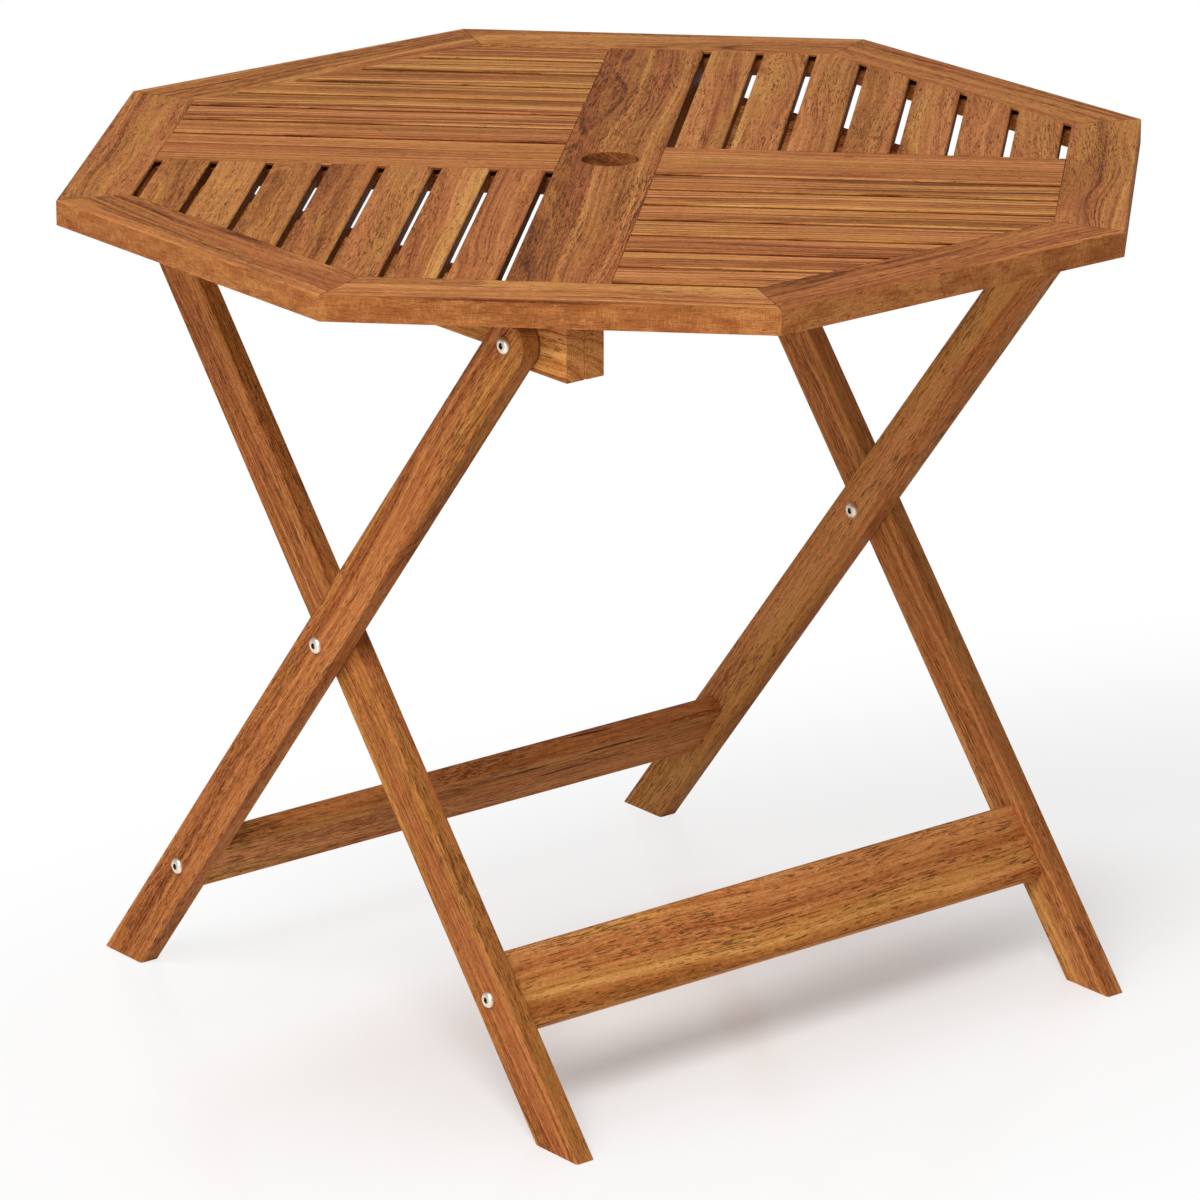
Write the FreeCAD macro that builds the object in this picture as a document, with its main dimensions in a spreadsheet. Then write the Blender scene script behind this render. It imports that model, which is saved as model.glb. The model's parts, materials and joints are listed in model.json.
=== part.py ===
import FreeCAD, Part
import math
import os
import Sketcher

# Folding octagonal garden table in slatted hardwood, with an umbrella hole.
# X runs along the leg stretchers, Y from the front feet to the rear feet, Z up.
# The origin is on the floor under the umbrella hole. All sizes are in millimetres.

SIZES = {
    # table top
    "top_width": 900,
    "top_height": 750,
    "board_thickness": 22,
    "frame_board_width": 60,
    "centre_board_width": 87,
    "cross_rail_width": 87,
    "slat_thickness": 11,
    "slat_gap": 7.3,
    "board_chamfer": 1,
    "tongue_thickness": 5,
    "tongue_length": 8,
    "groove_fit": 0.15,
    "umbrella_hole": 50,
    # beams under the top and the blocks on them
    "beam_setback": 39,
    "beam_depth": 50,
    "beam_thickness": 20,
    "beam_chamfer": 1,
    "pivot_block_length": 104,
    "stop_length": 46,
    "stop_depth": 24,
    # leg frames
    "legs_overall": 641,
    "leg_width": 44,
    "leg_thickness": 19,
    "leg_chamfer": 1.5,
    "leg_clearance": 1,
    "pivot_setback": 54,
    "pivot_drop": 26,
    "foot_spread": 39,
    "stretcher_height": 112,
    "stretcher_width": 70,
    "stretcher_thickness": 19,
    "stretcher_round": 4,
    # bolts, washers and pins
    "bolt_diameter": 8,
    "head_diameter": 14.5,
    "head_height": 4.4,
    "socket_width": 5,
    "socket_depth": 2.6,
    "screw_diameter": 6,
    "screw_length": 16,
    "sleeve_setback": 1,
    "washer_diameter": 20,
    "bolt_grip": 30,
    "pin_diameter": 12,
    "pin_head_diameter": 19,
    "pin_head_height": 3,
    "hole_fit": 0.08,
    "turning_gap": 0.3,
    "rest_gap": 0.3,
}
SLATS = 7
pieces = []
TURN = math.tan(math.radians(22.5))

doc = FreeCAD.newDocument("umbrella_table")
sheet = doc.addObject("Spreadsheet::Sheet", "Sizes")
for row, (name, size) in enumerate(SIZES.items(), start=1):
    sheet.set(f"A{row}", name)
    sheet.set(f"B{row}", str(size))
    sheet.setAlias(f"B{row}", name)
doc.recompute()


def size(text):
    """The value of an expression on the named sizes."""
    found = sheet.evalExpression(text)
    return float(getattr(found, "Value", found))


def s(name):
    return f"Sizes.{name}"


# Faces of the layers on the left side, as distances from the middle.
OUTER_LEG_OUT = f"({s('legs_overall')} / 2)"
OUTER_LEG_IN = f"({OUTER_LEG_OUT} - {s('leg_thickness')})"
INNER_LEG_OUT = f"({OUTER_LEG_IN} - {s('leg_clearance')})"
INNER_LEG_IN = f"({INNER_LEG_OUT} - {s('leg_thickness')})"
BEAM_OUT = f"({INNER_LEG_IN} - {s('leg_clearance')})"
BEAM_IN = f"({BEAM_OUT} - {s('beam_thickness')})"

# The octagon, the levels under it and the beams, which end inside its slanted sides.
OUTER = f"({s('top_width')} / 2)"
INNER = f"({s('top_width')} / 2 - {s('frame_board_width')})"
UNDERSIDE = f"({s('top_height')} - {s('board_thickness')})"
BEAM_BOTTOM = f"({UNDERSIDE} - {s('beam_depth')})"
BEAM_REACH = f"({OUTER} * sqrt(2) - {BEAM_OUT} - {s('beam_setback')})"

# Tongues on the ends of slats and rails, in grooves at the slats' mid level.
TONGUE = s("tongue_length")
GROOVE_DEPTH = f"({TONGUE} + 2 * {s('groove_fit')})"
GROOVE_HEIGHT = f"({s('tongue_thickness')} + 2 * {s('groove_fit')})"

# The lines of the legs: from the pivot under the front of the top to the foot at the
# rear, and the mirror line from the front foot up to the pin that bears under the beam.
PIVOT_REACH = f"({BEAM_REACH} - {s('pivot_setback')})"
PIVOT_LEVEL = f"({UNDERSIDE} - {s('pivot_drop')})"
FOOT_REACH = f"({PIVOT_REACH} + {s('foot_spread')})"
LEAN = f"atan(({FOOT_REACH} + {PIVOT_REACH}) / {PIVOT_LEVEL})"
CROSS = f"({PIVOT_LEVEL} * {FOOT_REACH} / ({FOOT_REACH} + {PIVOT_REACH}))"
PIN_LEVEL = f"({BEAM_BOTTOM} - {s('pin_diameter')} / 2 - {s('rest_gap')})"
UP_TO_PIVOT = f"(({PIVOT_LEVEL} - {CROSS}) / cos({LEAN}))"
UP_TO_PIN = f"(({PIN_LEVEL} - {CROSS}) / cos({LEAN}))"
PIN_REACH = f"(({PIN_LEVEL} - {CROSS}) * tan({LEAN}))"
DOWN_TO_STRETCHER = f"(({CROSS} - {s('stretcher_height')}) / cos({LEAN}))"
BORE = f"({s('bolt_diameter')} + 2 * {s('hole_fit')})"


def new_body(name):
    body = doc.addObject("PartDesign::Body", name)
    body.Label = name
    return body


def keep(item):
    """Adds a finished piece to the list of pieces that are written out."""
    pieces.append(item)
    return item


def plane(body, role):
    return next(f for f in body.Origin.OriginFeatures if f.Role == role)


def place(item, x="0", y="0", z="0", axis=(0, 0, 1), turn="0"):
    """Puts an object at a bound position, turned about an axis by a bound angle."""
    base = FreeCAD.Vector(size(x), size(y), size(z))
    item.Placement = FreeCAD.Placement(base, FreeCAD.Rotation(FreeCAD.Vector(*axis), 1))
    item.setExpression("Placement.Base.x", x)
    item.setExpression("Placement.Base.y", y)
    item.setExpression("Placement.Base.z", z)
    item.setExpression("Placement.Rotation.Angle", turn)


def new_sketch(body, name, role, above=None):
    """A sketch on one of the body's planes, or at a bound height above it."""
    sketch = body.newObject("Sketcher::SketchObject", name)
    sketch.AttachmentSupport = [(plane(body, role), "")]
    sketch.MapMode = "FlatFace"
    if above:
        sketch.setExpression("AttachmentOffset.Base.z", above)
        doc.recompute()
    return sketch


def fix_point(sketch, item, end, x, y):
    """Holds one end or centre of a sketch item at bound distances from the origin."""
    across = sketch.addConstraint(Sketcher.Constraint("DistanceX", -1, 1, item, end, size(x)))
    sketch.setExpression(f"Constraints[{across}]", x)
    up = sketch.addConstraint(Sketcher.Constraint("DistanceY", -1, 1, item, end, size(y)))
    sketch.setExpression(f"Constraints[{up}]", y)


def outline(sketch, corners):
    """A closed polygon whose corners are pairs of expressions."""
    points = [FreeCAD.Vector(size(x), size(y), 0) for x, y in corners]
    first = sketch.GeometryCount
    for i, here in enumerate(points):
        sketch.addGeometry(Part.LineSegment(here, points[(i + 1) % len(points)]), False)
    for i in range(len(points)):
        after = first + (i + 1) % len(points)
        sketch.addConstraint(Sketcher.Constraint("Coincident", first + i, 2, after, 1))
    for i, (x, y) in enumerate(corners):
        fix_point(sketch, first + i, 1, x, y)


def circle(sketch, x, y, diameter):
    middle = FreeCAD.Vector(size(x), size(y), 0)
    ring = Part.Circle(middle, FreeCAD.Vector(0, 0, 1), size(diameter) / 2)
    item = sketch.addGeometry(ring, False)
    fix_point(sketch, item, 3, x, y)
    wide = sketch.addConstraint(Sketcher.Constraint("Diameter", item, size(diameter)))
    sketch.setExpression(f"Constraints[{wide}]", diameter)


def pad(body, sketch, name, length):
    made = body.newObject("PartDesign::Pad", name)
    made.Profile = sketch
    made.setExpression("Length", length)
    doc.recompute()
    return made


def pocket(body, sketch, name, depth):
    """Cuts a sketch into the body, on the side where there is something to cut."""
    before = body.Shape.Volume
    made = body.newObject("PartDesign::Pocket", name)
    made.Profile = sketch
    made.setExpression("Length", depth)
    doc.recompute()
    if body.Shape.Volume > before - 1e-6:
        made.Reversed = True
        doc.recompute()
    return made


def edge_names(shape, wanted):
    return [f"Edge{i}" for i, e in enumerate(shape.Edges, start=1) if wanted(e)]


def ease_edges(body, kind, name, wanted, amount):
    """Rounds or chamfers the wanted edges of a body. kind is Fillet or Chamfer."""
    base = body.Tip
    made = body.newObject(f"PartDesign::{kind}", name)
    made.Base = (base, edge_names(base.Shape, wanted))
    made.setExpression("Radius" if kind == "Fillet" else "Size", amount)
    doc.recompute()


def along(edge, direction):
    """True for a straight edge that runs along a direction."""
    if not isinstance(edge.Curve, Part.Line):
        return False
    way = edge.Curve.Direction
    return abs(abs(way.dot(FreeCAD.Vector(*direction))) - 1) < 1e-6


def level(edge, height):
    return all(abs(v.Point.z - height) < 1e-4 for v in edge.Vertexes)


def top_board(name, corners, quarter, eased, thickness, tongue=None, grooves=(), hole=None):
    """A flat board of the top, drawn in the top's own frame and turned with it.
    tongue is the wider outline of its tongues, grooves are the outlines of its grooves."""
    body = new_body(name)
    sketch = new_sketch(body, name + "_outline", "XY_Plane")
    outline(sketch, corners)
    pad(body, sketch, name + "_board", thickness)
    middle = f"({thickness} - {s('slat_thickness')} / 2)"
    if tongue:
        below = f"({middle} - {s('tongue_thickness')} / 2)"
        wider = new_sketch(body, name + "_tongue_outline", "XY_Plane", below)
        outline(wider, tongue)
        pad(body, wider, name + "_tongue", s("tongue_thickness"))
    for number, groove in enumerate(grooves, start=1):
        above = f"({middle} + {GROOVE_HEIGHT} / 2)"
        strip = new_sketch(body, f"{name}_groove_outline_{number}", "XY_Plane", above)
        outline(strip, groove)
        pocket(body, strip, f"{name}_groove_{number}", GROOVE_HEIGHT)
    if hole:
        ring = new_sketch(body, name + "_circle", "XY_Plane")
        circle(ring, "0", "0", hole)
        pocket(body, ring, name + "_hole", thickness)
    thick = size(thickness)

    def top_edge(edge):
        return level(edge, thick) and eased(edge)

    ease_edges(body, "Chamfer", name + "_edges", top_edge, s("board_chamfer"))
    place(body, z=f"({s('top_height')} - {thickness})", turn=f"{quarter - 45} deg")
    keep(body)


def frame_boards():
    """Eight mitred boards that close the octagon, grooved inside for the slats."""
    names = ["right", "back_right", "back", "back_left", "left", "front_left", "front", "front_right"]
    floor = f"({INNER} + {GROOVE_DEPTH})"
    mouth = f"({INNER} - {GROOVE_DEPTH})"

    def across(near, far):
        return [
            (near, f"-{near} * {TURN}"), (far, f"-{far} * {TURN}"),
            (far, f"{far} * {TURN}"), (near, f"{near} * {TURN}"),
        ]

    for step, side in enumerate(names):
        top_board(
            f"frame_board_{side}", across(INNER, OUTER), 45 * step, lambda e: along(e, (0, 1, 0)),
            s("board_thickness"), grooves=[across(mouth, floor)],
        )


def rectangle(left, right, low, high):
    return [(left, low), (right, low), (right, high), (left, high)]


def centre_board():
    """The full-length board that carries the umbrella hole."""
    half = f"({s('centre_board_width')} / 2)"
    rail = f"({s('cross_rail_width')} / 2)"
    floor = f"({half} - {GROOVE_DEPTH})"
    beyond = f"({half} + {GROOVE_DEPTH})"
    end = f"({INNER} + {TONGUE})"

    def side_or_rim(edge):
        return along(edge, (0, 1, 0)) or isinstance(edge.Curve, Part.Circle)

    top_board(
        "centre_board", rectangle(f"-{half}", half, f"-{INNER}", INNER), 0, side_or_rim,
        s("board_thickness"),
        tongue=rectangle(f"-{floor}", floor, f"-{end}", end),
        grooves=[
            rectangle(floor, beyond, f"-{INNER}", rail),
            rectangle(f"-{beyond}", f"-{floor}", f"-{rail}", INNER),
        ],
        hole=s("umbrella_hole"),
    )


def cross_rails():
    """Two wide rails in line, one on each side of the centre board."""
    side = f"({s('centre_board_width')} / 2)"
    half = f"({s('cross_rail_width')} / 2)"
    floor = f"({half} - {GROOVE_DEPTH})"
    beyond = f"({half} + {GROOVE_DEPTH})"
    for name, quarter in (("cross_rail_right", 0), ("cross_rail_left", 180)):
        top_board(
            name, rectangle(side, INNER, f"-{half}", half), quarter, lambda e: along(e, (1, 0, 0)),
            s("board_thickness"),
            tongue=rectangle(f"({side} - {TONGUE})", f"({INNER} + {TONGUE})", f"-{floor}", floor),
            grooves=[rectangle(side, INNER, floor, beyond)],
        )


def slat_corners(number, side, end, reach="0"):
    """The outline of one slat: its outer end follows the inside of the octagon.
    side is the board edge beside the first slat, end is the edge that all slats start from,
    reach is how far the outline goes on past both ends."""
    width = f"(({INNER} - {side} - {s('slat_gap')}) / {SLATS} - {s('slat_gap')})"
    near = f"({side} + {s('slat_gap')} + {number} * ({width} + {s('slat_gap')}))"
    far = f"({near} + {width})"
    inside = f"({INNER} + {reach})"
    corner = f"({inside} * {TURN})"
    slope = f"({inside} + {corner})"
    start = f"({end} - {reach})"
    points = [(near, start), (far, start), (far, f"min({inside}; {slope} - {far})")]
    if size(near) + 0.01 < size(corner) < size(far) - 0.01:
        points.append((corner, inside))
    points.append((near, f"min({inside}; {slope} - {near})"))
    return points


def slats():
    """Four quarters of slats, laid like a pinwheel round the umbrella hole."""
    beside_centre = f"({s('centre_board_width')} / 2)"
    beside_rail = f"({s('cross_rail_width')} / 2)"
    quarters = [
        ("back_right", 0, beside_centre, beside_rail),
        ("back_left", 90, beside_rail, beside_centre),
        ("front_left", 180, beside_centre, beside_rail),
        ("front_right", 270, beside_rail, beside_centre),
    ]
    for quarter, turn, side, end in quarters:
        for number in range(SLATS):
            top_board(
                f"slat_{quarter}_{number + 1}", slat_corners(number, side, end), turn,
                lambda e: along(e, (0, 1, 0)), s("slat_thickness"),
                tongue=slat_corners(number, side, end, TONGUE),
            )


def beams():
    """Two beams under the top. The wide leg frame turns on a packing block on the left."""
    front = f"(-{BEAM_REACH})"
    packing = f"{s('leg_thickness')} + {s('leg_clearance')}"
    bars = [
        ("beam_left", f"-{BEAM_OUT}", s("beam_thickness"), f"(2 * {BEAM_REACH})"),
        ("beam_right", BEAM_IN, s("beam_thickness"), f"(2 * {BEAM_REACH})"),
        ("pivot_block", f"-{INNER_LEG_OUT}", packing, s("pivot_block_length")),
    ]

    def eased_edge(edge):
        return along(edge, (0, 0, 1)) or along(edge, (0, 1, 0)) and level(edge, 0)

    for name, x, wide, long in bars:
        body = new_body(name)
        sketch = new_sketch(body, name + "_outline", "YZ_Plane")
        deep = s("beam_depth")
        outline(sketch, [("0", "0"), (long, "0"), (long, deep), ("0", deep)])
        circle(sketch, s("pivot_setback"), f"{PIVOT_LEVEL} - {BEAM_BOTTOM}", BORE)
        pad(body, sketch, name + "_bar", wide)
        ease_edges(body, "Chamfer", name + "_edges", eased_edge, s("beam_chamfer"))
        place(body, x, front, BEAM_BOTTOM)
        keep(body)


def stop_blocks():
    """Blocks under the beams, with a rounded seat that holds back the rest pins."""
    seat = f"({s('pin_diameter')} / 2 + {s('rest_gap')})"
    low = f"-{s('stop_depth')}"
    for side, x in (("left", f"-{BEAM_OUT}"), ("right", BEAM_IN)):
        name = f"stop_block_{side}"
        body = new_body(name)
        sketch = new_sketch(body, name + "_outline", "YZ_Plane")
        corners = [("0", "0"), ("0", f"-{seat}"), (seat, f"-{seat}"), (seat, low)]
        corners += [(s("stop_length"), low), (s("stop_length"), "0")]
        outline(sketch, corners)
        pad(body, sketch, name + "_block", s("beam_thickness"))
        bed = new_sketch(body, name + "_seat", "YZ_Plane")
        circle(bed, "0", f"-{seat}", f"2 * {seat}")
        pocket(body, bed, name + "_bed", s("beam_thickness"))
        place(body, x, PIN_REACH, BEAM_BOTTOM)
        keep(body)


def leg(name, inner_face, side, top_reach, top_hole):
    """One leg: a flat board with a round top end, cut level at the floor.
    side is 1 where the foot is at the rear and -1 where it is at the front."""
    body = new_body(name)
    half = f"({s('leg_width')} / 2)"
    down = f"(-{CROSS} / cos({LEAN}))"
    skew = f"({half} * tan({LEAN}))"
    feet = [(f"-{half}", f"{down} + {side} * {skew}"), (half, f"{down} - {side} * {skew}")]
    wide = size(half)
    crown = FreeCAD.Vector(0, size(top_reach), 0)
    corners = [FreeCAD.Vector(size(x), size(y), 0) for x, y in feet]
    corners += [crown + FreeCAD.Vector(wide, 0, 0), crown - FreeCAD.Vector(wide, 0, 0)]
    sketch = new_sketch(body, name + "_outline", "YZ_Plane")
    sketch.addGeometry(Part.LineSegment(corners[0], corners[1]), False)
    sketch.addGeometry(Part.LineSegment(corners[1], corners[2]), False)
    round_end = Part.Circle(crown, FreeCAD.Vector(0, 0, 1), wide)
    sketch.addGeometry(Part.ArcOfCircle(round_end, 0, math.pi), False)
    sketch.addGeometry(Part.LineSegment(corners[3], corners[0]), False)
    sketch.addConstraint(Sketcher.Constraint("Coincident", 0, 2, 1, 1))
    sketch.addConstraint(Sketcher.Constraint("Coincident", 3, 2, 0, 1))
    sketch.addConstraint(Sketcher.Constraint("Tangent", 1, 2, 2, 1))
    sketch.addConstraint(Sketcher.Constraint("Tangent", 2, 2, 3, 1))
    fix_point(sketch, 0, 1, *feet[0])
    fix_point(sketch, 1, 1, *feet[1])
    fix_point(sketch, 2, 3, "0", top_reach)
    sketch.addConstraint(Sketcher.Constraint("Vertical", 1))
    pad(body, sketch, name + "_board", s("leg_thickness"))

    holes = new_sketch(body, name + "_holes", "YZ_Plane")
    circle(holes, "0", "0", BORE)
    circle(holes, "0", top_reach, f"{top_hole} + 2 * {s('hole_fit')}")
    circle(holes, "0", f"-{DOWN_TO_STRETCHER}", BORE)
    pocket(body, holes, name + "_bores", s("leg_thickness"))

    def on_rim(edge):
        if isinstance(edge.Curve, Part.Circle):
            return abs(edge.Curve.Radius - wide) < 1e-4
        return along(edge, (0, 0, 1)) and abs(edge.Vertexes[0].Point.y) > wide - 1e-4

    ease_edges(body, "Chamfer", name + "_edges", on_rim, s("leg_chamfer"))
    place(body, inner_face, "0", CROSS, (1, 0, 0), f"{side} * {LEAN}")
    keep(body)


def stretcher(name, left_face, right_face, side):
    """A flat rail between two legs, lying in the slope of its frame."""
    body = new_body(name)
    half = f"({s('stretcher_thickness')} / 2)"
    middle = f"-{DOWN_TO_STRETCHER}"
    low = f"{middle} - {s('stretcher_width')} / 2"
    high = f"{middle} + {s('stretcher_width')} / 2"
    length = f"({left_face} + {right_face})"
    sketch = new_sketch(body, name + "_outline", "YZ_Plane")
    outline(sketch, [(f"-{half}", low), (half, low), (half, high), (f"-{half}", high)])
    pad(body, sketch, name + "_rail", length)

    def long_edge(edge):
        return along(edge, (1, 0, 0))

    ease_edges(body, "Fillet", name + "_edges", long_edge, s("stretcher_round"))
    for end, offset in (("left", "0"), ("right", length)):
        hole = new_sketch(body, f"{name}_{end}_hole", "YZ_Plane")
        hole.setExpression("AttachmentOffset.Base.z", offset)
        circle(hole, "0", middle, BORE)
        pocket(body, hole, f"{name}_{end}_bore", f"{s('bolt_grip')} + 1")
    place(body, f"-{left_face}", "0", CROSS, (1, 0, 0), f"{side} * {LEAN}")
    keep(body)


def hexagon(sketch, across_flats):
    """A regular hexagon round the sketch's origin."""
    corners = []
    for step in range(6):
        turn = math.radians(60 * step + 30)
        reach = f"{across_flats} / 2 / {math.cos(math.radians(30))}"
        corners.append((f"{reach} * {math.cos(turn)}", f"{reach} * {math.sin(turn)}"))
    outline(sketch, corners)


def headed_pin(name, head, head_height, shank, length):
    """A low tapered head that sits at height 0, with the shank below it, turned about Z."""
    body = new_body(name)
    profile = new_sketch(body, name + "_profile", "XZ_Plane")
    outline(profile, [
        ("0", f"-({length})"),
        (f"{shank} / 2", f"-({length})"),
        (f"{shank} / 2", "0"),
        (f"{head} / 2", "0"),
        (f"{head} * 0.34", head_height),
        ("0", head_height),
    ])
    turned = body.newObject("PartDesign::Revolution", name + "_turned")
    turned.Profile = profile
    turned.ReferenceAxis = (profile, ["V_Axis"])
    doc.recompute()
    return body


def bolt(name, shank, length):
    """A low-head bolt with a hexagon socket."""
    body = headed_pin(name, s("head_diameter"), s("head_height"), shank, length)
    drive = new_sketch(body, name + "_drive", "XY_Plane")
    drive.setExpression("AttachmentOffset.Base.z", s("head_height"))
    hexagon(drive, s("socket_width"))
    pocket(body, drive, name + "_socket", s("socket_depth"))
    return body


def sleeve_nut(name, length):
    """A nut with the same head as the bolts: its long sleeve is the shaft of the joint."""
    body = bolt(name, s("bolt_diameter"), length)
    thread = new_sketch(body, name + "_thread", "XY_Plane")
    thread.setExpression("AttachmentOffset.Base.z", f"-({length})")
    circle(thread, "0", "0", f"{s('screw_diameter')} + 2 * {s('hole_fit')}")
    pocket(body, thread, name + "_threaded_hole", s("screw_length"))
    return body


def washer(name):
    body = new_body(name)
    sketch = new_sketch(body, name + "_ring", "XY_Plane")
    circle(sketch, "0", "0", s("washer_diameter"))
    circle(sketch, "0", "0", BORE)
    pad(body, sketch, name + "_disc", f"{s('leg_clearance')} - {s('turning_gap')}")
    return body


def facing(item, x, y, z, way):
    """Turns a piece made along Z so that it points left (-1) or right (1)."""
    place(item, x, y, z, (0, 1, 0), f"{90 * way} deg")


def pair(name, left, right):
    """Two alike fasteners kept as one piece of two solids."""
    both = doc.addObject("Part::Compound", name)
    both.Label = name
    both.Links = [left, right]
    return keep(both)


def connectors(name, bolt_seats, nut_seats, y, z):
    """Bolts from outside with sleeve nuts from inside, one pair on each side of the table.
    The seats are the faces under the heads, as distances from the middle, left then right."""
    bolts, nuts = [], []
    for side, way, outer, inner in zip(("left", "right"), (-1, 1), bolt_seats, nut_seats):
        sleeve = f"({outer}) - ({inner}) - {s('sleeve_setback')}"
        bolts.append(bolt(f"{name}_bolt_{side}", s("screw_diameter"), s("screw_length")))
        nuts.append(sleeve_nut(f"{name}_nut_{side}", sleeve))
        facing(bolts[-1], f"{way} * ({outer})", y, z, way)
        facing(nuts[-1], f"{way} * ({inner})", y, z, -way)
    pair(f"{name}_bolts", *bolts)
    pair(f"{name}_nuts", *nuts)


def washers(name, left_face, right_face, y, z, way):
    rings = [washer(f"{name}_washer_left"), washer(f"{name}_washer_right")]
    facing(rings[0], f"-{left_face}", y, z, way)
    facing(rings[1], right_face, y, z, 1)
    pair(f"{name}_washers", *rings)


def crossing_hardware():
    """The shafts on which the two leg frames scissor."""
    bolt_seats = (OUTER_LEG_OUT, f"{OUTER_LEG_OUT} + {s('turning_gap')}")
    nut_seats = (f"{INNER_LEG_IN} - {s('turning_gap')}", INNER_LEG_IN)
    connectors("crossing", bolt_seats, nut_seats, "0", CROSS)
    washers("crossing", OUTER_LEG_IN, INNER_LEG_OUT, "0", CROSS, 1)


def pivot_hardware():
    """The shafts on which the top turns."""
    here = (f"-{PIVOT_REACH}", PIVOT_LEVEL)
    bolt_seats = (f"{OUTER_LEG_OUT} + {s('turning_gap')}", f"{INNER_LEG_OUT} + {s('turning_gap')}")
    connectors("pivot", bolt_seats, (BEAM_IN, BEAM_IN), *here)
    washers("pivot", INNER_LEG_OUT, BEAM_OUT, *here, -1)


def stretcher_bolts(name, left_face, right_face, side):
    length = f"{s('leg_thickness')} + {s('bolt_grip')}"
    reach = f"{side} * ({CROSS} - {s('stretcher_height')}) * tan({LEAN})"
    left = bolt(name + "_left", s("bolt_diameter"), length)
    right = bolt(name + "_right", s("bolt_diameter"), length)
    facing(left, f"-{left_face}", reach, s("stretcher_height"), -1)
    facing(right, right_face, reach, s("stretcher_height"), 1)
    pair(name, left, right)


def rest_pins():
    """Steel pins in the tops of the second frame. The beams rest on them."""
    faces = (("left", INNER_LEG_OUT), ("right", OUTER_LEG_OUT))
    pins = []
    for side, face in faces:
        pins.append(headed_pin(
            f"rest_pin_{side}", s("pin_head_diameter"), s("pin_head_height"),
            s("pin_diameter"), f"{face} - {BEAM_IN}",
        ))
    facing(pins[0], f"-{INNER_LEG_OUT}", PIN_REACH, PIN_LEVEL, -1)
    facing(pins[1], OUTER_LEG_OUT, PIN_REACH, PIN_LEVEL, 1)
    pair("rest_pins", *pins)


def leg_frames():
    """Frame A carries the pivots at the front and stands at the rear; frame B crosses it."""
    leg("leg_a_left", f"-{OUTER_LEG_OUT}", 1, UP_TO_PIVOT, s("bolt_diameter"))
    leg("leg_a_right", INNER_LEG_IN, 1, UP_TO_PIVOT, s("bolt_diameter"))
    stretcher("stretcher_a", OUTER_LEG_IN, INNER_LEG_IN, 1)
    stretcher_bolts("stretcher_bolts_a", OUTER_LEG_OUT, INNER_LEG_OUT, 1)
    leg("leg_b_left", f"-{INNER_LEG_OUT}", -1, UP_TO_PIN, s("pin_diameter"))
    leg("leg_b_right", OUTER_LEG_IN, -1, UP_TO_PIN, s("pin_diameter"))
    stretcher("stretcher_b", INNER_LEG_IN, OUTER_LEG_IN, -1)
    stretcher_bolts("stretcher_bolts_b", INNER_LEG_OUT, OUTER_LEG_OUT, -1)


frame_boards()
centre_board()
cross_rails()
slats()
beams()
stop_blocks()
leg_frames()
crossing_hardware()
pivot_hardware()
rest_pins()
doc.recompute()

for item in doc.Objects:
    wrong = [word for word in item.State if word in ("Invalid", "Error")]
    if wrong:
        raise RuntimeError(f"{item.Label} did not build: {wrong}")
for item in pieces:
    if item.Shape.isNull() or not item.Shape.isValid():
        raise RuntimeError(f"{item.Label} has no valid shape")

os.makedirs("parts", exist_ok=True)
for item in pieces:
    item.Shape.exportStep(f"parts/{item.Label}.step")
print(len(pieces), "pieces written")
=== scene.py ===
import json
import math

import bmesh
import bpy
from mathutils import Matrix, Vector

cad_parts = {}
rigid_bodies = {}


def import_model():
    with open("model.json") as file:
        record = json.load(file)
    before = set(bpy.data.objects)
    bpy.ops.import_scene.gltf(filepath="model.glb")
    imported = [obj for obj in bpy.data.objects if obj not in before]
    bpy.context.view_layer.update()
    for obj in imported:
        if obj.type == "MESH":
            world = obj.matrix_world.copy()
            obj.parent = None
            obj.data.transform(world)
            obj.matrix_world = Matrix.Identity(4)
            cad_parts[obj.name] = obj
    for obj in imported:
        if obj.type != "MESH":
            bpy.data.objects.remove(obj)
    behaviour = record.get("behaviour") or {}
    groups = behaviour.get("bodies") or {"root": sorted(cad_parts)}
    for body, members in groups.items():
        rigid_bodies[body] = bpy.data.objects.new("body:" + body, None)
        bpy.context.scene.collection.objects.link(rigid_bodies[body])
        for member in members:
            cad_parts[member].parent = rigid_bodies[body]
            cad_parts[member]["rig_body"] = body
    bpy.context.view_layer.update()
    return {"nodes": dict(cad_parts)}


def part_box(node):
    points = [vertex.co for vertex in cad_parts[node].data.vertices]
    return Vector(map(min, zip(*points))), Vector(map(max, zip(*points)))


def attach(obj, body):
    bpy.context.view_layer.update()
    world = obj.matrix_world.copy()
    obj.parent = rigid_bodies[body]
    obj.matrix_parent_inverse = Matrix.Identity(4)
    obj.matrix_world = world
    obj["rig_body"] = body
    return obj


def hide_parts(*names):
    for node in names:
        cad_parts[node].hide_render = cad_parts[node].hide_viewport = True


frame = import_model()
nodes = frame["nodes"]

# The lean of the legs, from the places of the pivots and the feet in metres.
PIVOT_REACH = 0.2629
PIVOT_HEIGHT = 0.702
FOOT_REACH = 0.3019
LEAN = math.atan2(PIVOT_REACH + FOOT_REACH, PIVOT_HEIGHT)

# Sizes of the fasteners, in metres.
HEAD_HEIGHT = 0.0044
SOCKET_WIDTH = 0.005
SOCKET_DEPTH = 0.0026
SOCKET_EDGE_DEPTH = 0.00025
DRILL_POINT = 0.0006
PIN_HEAD_HEIGHT = 0.003
SCREW_RADIUS = 0.003
SHANK_RADIUS = 0.004
PIN_RADIUS = 0.006

# Proportions of a head and of its socket, and how finely they are divided.
SEAT_SHARE = 0.97
RIM_LOW = 0.08
RIM_HIGH = 0.26
CROWN_SHARE = 0.52
SOCKET_LIP = 1.12
DOME_STEPS = 6
SEGMENTS = 48
SHARP_ANGLE = 38

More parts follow.
